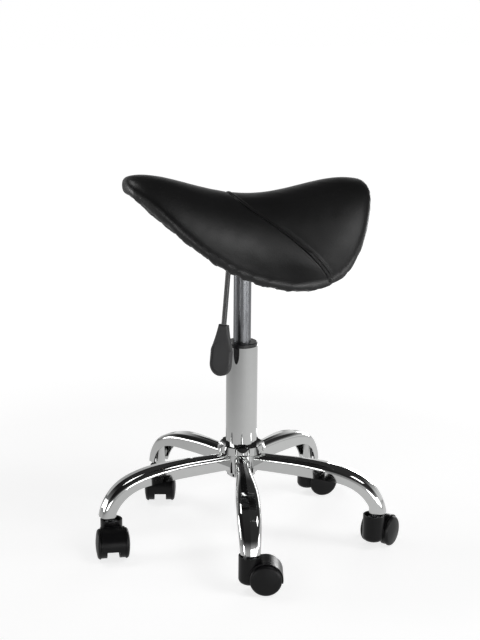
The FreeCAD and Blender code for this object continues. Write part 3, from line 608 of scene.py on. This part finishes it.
class STOOL_OT_finishes(bpy.types.Operator):
    """Make the finishes and give the plated, moulded and painted pieces theirs"""
    bl_idname = "stool.finishes"
    bl_label = "Finishes"

    def execute(self, context):
        colours = context.scene.stool_colours
        make_grain_group()
        make_polish_group()
        grain = "pressed grain"
        make_material("saddle vinyl", colours.vinyl, grain,
                      {"Scale": 620.0, "Gloss Low": 0.34, "Gloss High": 0.46, "Patch": 7.0},
                      specular=0.40, bump=0.22, depth=0.00035, tone=0.25)
        make_material("thread", (0.016, 0.016, 0.017), grain,
                      {"Scale": 2500.0, "Gloss Low": 0.5, "Gloss High": 0.6, "Patch": 60.0},
                      bump=0.3)
        make_material("nylon", colours.nylon, grain,
                      {"Scale": 1500.0, "Gloss Low": 0.26, "Gloss High": 0.36, "Patch": 22.0},
                      specular=0.19, bump=0.12, depth=0.0002, tone=0.2)
        make_material("tread", colours.nylon, grain,
                      {"Scale": 1200.0, "Gloss Low": 0.32, "Gloss High": 0.46, "Patch": 40.0},
                      specular=0.19, bump=0.2, depth=0.0002, tone=0.3)
        make_material("paddle plastic", colours.paddle, grain,
                      {"Scale": 1600.0, "Gloss Low": 0.42, "Gloss High": 0.52, "Patch": 30.0},
                      bump=0.3, depth=0.0002, tone=0.15)
        make_material("powder coat", (0.014, 0.014, 0.015), grain,
                      {"Scale": 1100.0, "Gloss Low": 0.32, "Gloss High": 0.42, "Patch": 18.0},
                      bump=0.25, depth=0.0002, tone=0.2)
        make_material("acetal", (0.010, 0.010, 0.011), grain,
                      {"Scale": 2200.0, "Gloss Low": 0.28, "Gloss High": 0.36, "Patch": 40.0},
                      bump=0.08, depth=0.0001)
        make_material("natural nylon", (0.6, 0.6, 0.55), grain,
                      {"Scale": 1500.0, "Gloss Low": 0.35, "Gloss High": 0.5, "Patch": 60.0},
                      bump=0.1)
        make_material("bumper rubber", (0.02, 0.02, 0.02), grain,
                      {"Scale": 1400.0, "Gloss Low": 0.55, "Gloss High": 0.7, "Patch": 30.0},
                      bump=0.2)
        make_material("dust cloth", (0.012, 0.012, 0.012), grain,
                      {"Scale": 2800.0, "Gloss Low": 0.8, "Gloss High": 0.95, "Patch": 50.0},
                      bump=0.7, depth=0.0004, tone=0.4, specular=0.2)
        make_material("plywood", (0.62, 0.45, 0.28), grain,
                      {"Scale": 420.0, "Gloss Low": 0.55, "Gloss High": 0.7, "Patch": 34.0},
                      bump=0.3, depth=0.0003, tone=0.3)
        polish = "polish"
        make_material("chrome plate", colours.chrome, polish,
                      {"Wave": 16.0, "Gloss Low": 0.03, "Gloss High": 0.075, "Stretch": 1.0},
                      metallic=1.0, bump=0.04, depth=0.0006, tone=0.03)
        make_material("ground steel", colours.cylinder, polish,
                      {"Wave": 120.0, "Gloss Low": 0.24, "Gloss High": 0.34, "Stretch": 0.06},
                      metallic=1.0, bump=0.05, depth=0.0002, tone=0.10)
        make_material("zinc plate", (0.50, 0.51, 0.52), polish,
                      {"Wave": 90.0, "Gloss Low": 0.25, "Gloss High": 0.4, "Stretch": 1.0},
                      metallic=1.0, bump=0.05, depth=0.0002, tone=0.12)
        make_material("black steel", (0.03, 0.03, 0.032), polish,
                      {"Wave": 90.0, "Gloss Low": 0.35, "Gloss High": 0.5, "Stretch": 1.0},
                      metallic=0.6, bump=0.05, depth=0.0002, tone=0.2)
        chosen = {"chrome": "chrome plate", "cylinder_steel": "ground steel", "steel": "zinc plate",
                  "bolt_steel": "black steel", "black_paint": "powder coat",
                  "paddle_plastic": "paddle plastic", "bush_plastic": "acetal",
                  "cage_plastic": "natural nylon", "caster_nylon": "nylon", "wheel_nylon": "tread",
                  "rubber": "bumper rubber", "wood": "plywood", "foam": "natural nylon",
                  "vinyl": "saddle vinyl", "dust_cloth": "dust cloth"}
        for entry in frame["record"]["subparts"]:
            refinish(entry["node"], chosen[entry["material_slot"]])
        return {"FINISHED"}


class STOOL_OT_saddle(bpy.types.Operator):
    """Upholster the saddle: padded cover with its seam, fold, stitches and gathers"""
    bl_idname = "stool.saddle"
    bl_label = "Saddle"

    def execute(self, context):
        sizes = context.scene.stool_seat
        cushion = copy_of(("seat_foam", "seat_board", "cover_front", "cover_rear"),
                          "saddle_cushion")
        remesh = cushion.modifiers.new("even", "REMESH")
        remesh.mode = "VOXEL"
        remesh.voxel_size = sizes.voxel
        remesh.use_smooth_shade = True
        apply_all(cushion)
        even = cushion.modifiers.new("relax", "SMOOTH")
        even.factor = 0.5
        even.iterations = 2
        apply_all(cushion)
        swell_padding(cushion, sizes)
        round_off = cushion.modifiers.new("round", "SUBSURF")
        round_off.levels = round_off.render_levels = 1
        apply_all(cushion)
        refine_near(cushion, lambda c, n: n.z > -0.4 and abs(seam_gap(sizes, c.x, c.y)) < 0.009)
        refine_near(cushion, lambda c, n: n.z > -0.4 and abs(seam_gap(sizes, c.x, c.y)) < 0.0045)
        sew_cushion(cushion, sizes)
        bpy.ops.object.shade_smooth()
        surface = BVHTree.FromObject(cushion, context.evaluated_depsgraph_get())
        fold = make_welt(sizes, surface)
        thread = make_stitches(sizes, BVHTree.FromObject(fold, context.evaluated_depsgraph_get()))
        dress(cushion, "seat", "saddle vinyl")
        dress(fold, "seat", "saddle vinyl")
        dress(thread, "seat", "thread")
        dress(make_staples(sizes.staples), "seat", "zinc plate")
        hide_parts("seat_foam", "cover_front", "cover_rear", "seat_board")
        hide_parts("seam_welt")
        return {"FINISHED"}


class STOOL_OT_stage(bpy.types.Operator):
    """Set the pale floor, the soft studio light and the camera"""
    bl_idname = "stool.stage"
    bl_label = "Stage"

    def execute(self, context):
        scene = context.scene
        scene.view_settings.view_transform = "Standard"
        bpy.ops.mesh.primitive_plane_add(size=24.0, location=(0, 0, -0.0004))
        floor = named("studio_floor")
        material = bpy.data.materials.new("studio floor")
        material.use_nodes = True
        tree = material.node_tree
        shader = tree.nodes["Principled BSDF"]
        shader.inputs["Base Color"].default_value = (0.86, 0.86, 0.86, 1)
        shader.inputs["Roughness"].default_value = 0.7
        shader.inputs["Specular IOR Level"].default_value = 0.1
        glow = tree.nodes.new("ShaderNodeEmission")
        rays = tree.nodes.new("ShaderNodeLightPath")
        spot = tree.nodes.new("ShaderNodeTexCoord")
        split = tree.nodes.new("ShaderNodeSeparateXYZ")
        link = tree.links.new
        link(spot.outputs["Object"], split.inputs[0])
        side = mapped(tree, split.outputs["Y"], (-1.6, 1.2), (0.45, 1.05), smooth=True)
        far = node_in(tree, "ShaderNodeVectorMath", operation="LENGTH")
        link(spot.outputs["Object"], far.inputs[0])
        mirrored, seen, share = (mapped(tree, far.outputs["Value"], *fade).outputs[0]
                                 for fade in (MIRRORED_GLOW, SEEN_GLOW, SEEN_SHARE))
        mirrored = product(tree, side.outputs[0], mirrored)
        off_camera = scaled(tree, rays.outputs["Is Glossy Ray"], MIRRORED_SHARE)
        blend = tree.nodes.new("ShaderNodeMixShader")
        for other, camera, socket in ((mirrored, seen, glow.inputs["Strength"]),
                                      (off_camera, share, blend.inputs[0])):
            choice = node_in(tree, "ShaderNodeMix", data_type="FLOAT")
            link(rays.outputs["Is Camera Ray"], choice.inputs["Factor"])
            link(other, choice.inputs["A"])
            link(camera, choice.inputs["B"])
            link(choice.outputs["Result"], socket)
        link(shader.outputs[0], blend.inputs[1])
        link(glow.outputs[0], blend.inputs[2])
        link(blend.outputs[0], tree.nodes["Material Output"].inputs["Surface"])
        floor.data.materials.append(material)

        world = bpy.data.worlds.new("studio")
        scene.world = world
        world.use_nodes = True
        tree = world.node_tree
        tree.nodes.clear()
        link = tree.links.new
        out = tree.nodes.new("ShaderNodeOutputWorld")
        place = tree.nodes.new("ShaderNodeTexCoord")
        split = tree.nodes.new("ShaderNodeSeparateXYZ")
        link(place.outputs["Generated"], split.inputs[0])
        height = mapped(tree, split.outputs["Z"], (0.05, 0.5), (0.9, 0.04), smooth=True)
        side = mapped(tree, split.outputs["Y"], (-0.75, 0.1), (0.35, 1.0), smooth=True)
        room = tree.nodes.new("ShaderNodeBackground")
        white = tree.nodes.new("ShaderNodeBackground")
        for background in (room, white):
            background.inputs["Color"].default_value = (1, 1, 1, 1)
        link(product(tree, height.outputs[0], side.outputs[0]), room.inputs["Strength"])
        white.inputs["Strength"].default_value = 1.0
        rays = tree.nodes.new("ShaderNodeLightPath")
        blend = tree.nodes.new("ShaderNodeMixShader")
        link(rays.outputs["Is Camera Ray"], blend.inputs[0])
        link(room.outputs[0], blend.inputs[1])
        link(white.outputs[0], blend.inputs[2])
        link(blend.outputs[0], out.inputs["Surface"])

        target = Vector(LAMPS_AIM_AT)
        for name, spot, size, power in SOFTBOXES:
            light = bpy.data.lights.new(name, "AREA")
            light.shape = "RECTANGLE"
            light.size, light.size_y = size
            light.energy = power
            lamp = bpy.data.objects.new(name, light)
            scene.collection.objects.link(lamp)
            lamp.location = spot
            lamp.rotation_euler = (Vector(spot) - target).to_track_quat("Z", "Y").to_euler()

        lens = bpy.data.cameras.new("photo_camera")
        lens.lens = CAMERA_LENS
        lens.clip_start = 0.05
        camera = bpy.data.objects.new("photo_camera", lens)
        scene.collection.objects.link(camera)
        scene.camera = camera
        level = math.cos(CAMERA_PITCH)
        ahead = Vector((math.cos(CAMERA_HEADING) * level, math.sin(CAMERA_HEADING) * level,
                        -math.sin(CAMERA_PITCH)))
        right = ahead.cross(Vector((0, 0, 1))).normalized()
        up = right.cross(ahead)
        tipped = right * math.cos(CAMERA_ROLL) + up * math.sin(CAMERA_ROLL)
        up = up * math.cos(CAMERA_ROLL) - right * math.sin(CAMERA_ROLL)
        turn = Matrix((tipped, up, -ahead)).transposed().to_4x4()
        turn.translation = Vector(CAMERA_PLACE)
        camera.matrix_world = turn
        return {"FINISHED"}


class STOOL_PT_panel(bpy.types.Panel):
    """Lists the steps and the sizes of the stool"""
    bl_label = "Saddle stool"
    bl_idname = "STOOL_PT_panel"
    bl_space_type = "VIEW_3D"
    bl_region_type = "UI"
    bl_category = "Stool"

    def draw(self, context):
        for step in STEPS:
            self.layout.operator(step.bl_idname)
        for group in (context.scene.stool_seat, context.scene.stool_colours):
            for key in group.__annotations__:
                self.layout.prop(group, key)


STEPS = (STOOL_OT_finishes, STOOL_OT_saddle, STOOL_OT_stage)
CLASSES = (StoolSeatSizes, StoolColours) + STEPS + (STOOL_PT_panel,)


def register():
    for cls in CLASSES:
        bpy.utils.register_class(cls)
    bpy.types.Scene.stool_seat = PointerProperty(type=StoolSeatSizes)
    bpy.types.Scene.stool_colours = PointerProperty(type=StoolColours)


def unregister():
    del bpy.types.Scene.stool_seat
    del bpy.types.Scene.stool_colours
    for cls in reversed(CLASSES):
        bpy.utils.unregister_class(cls)


def main():
    register()
    bpy.ops.stool.finishes()
    bpy.ops.stool.saddle()
    bpy.ops.stool.stage()


if __name__ == "__main__":
    main()
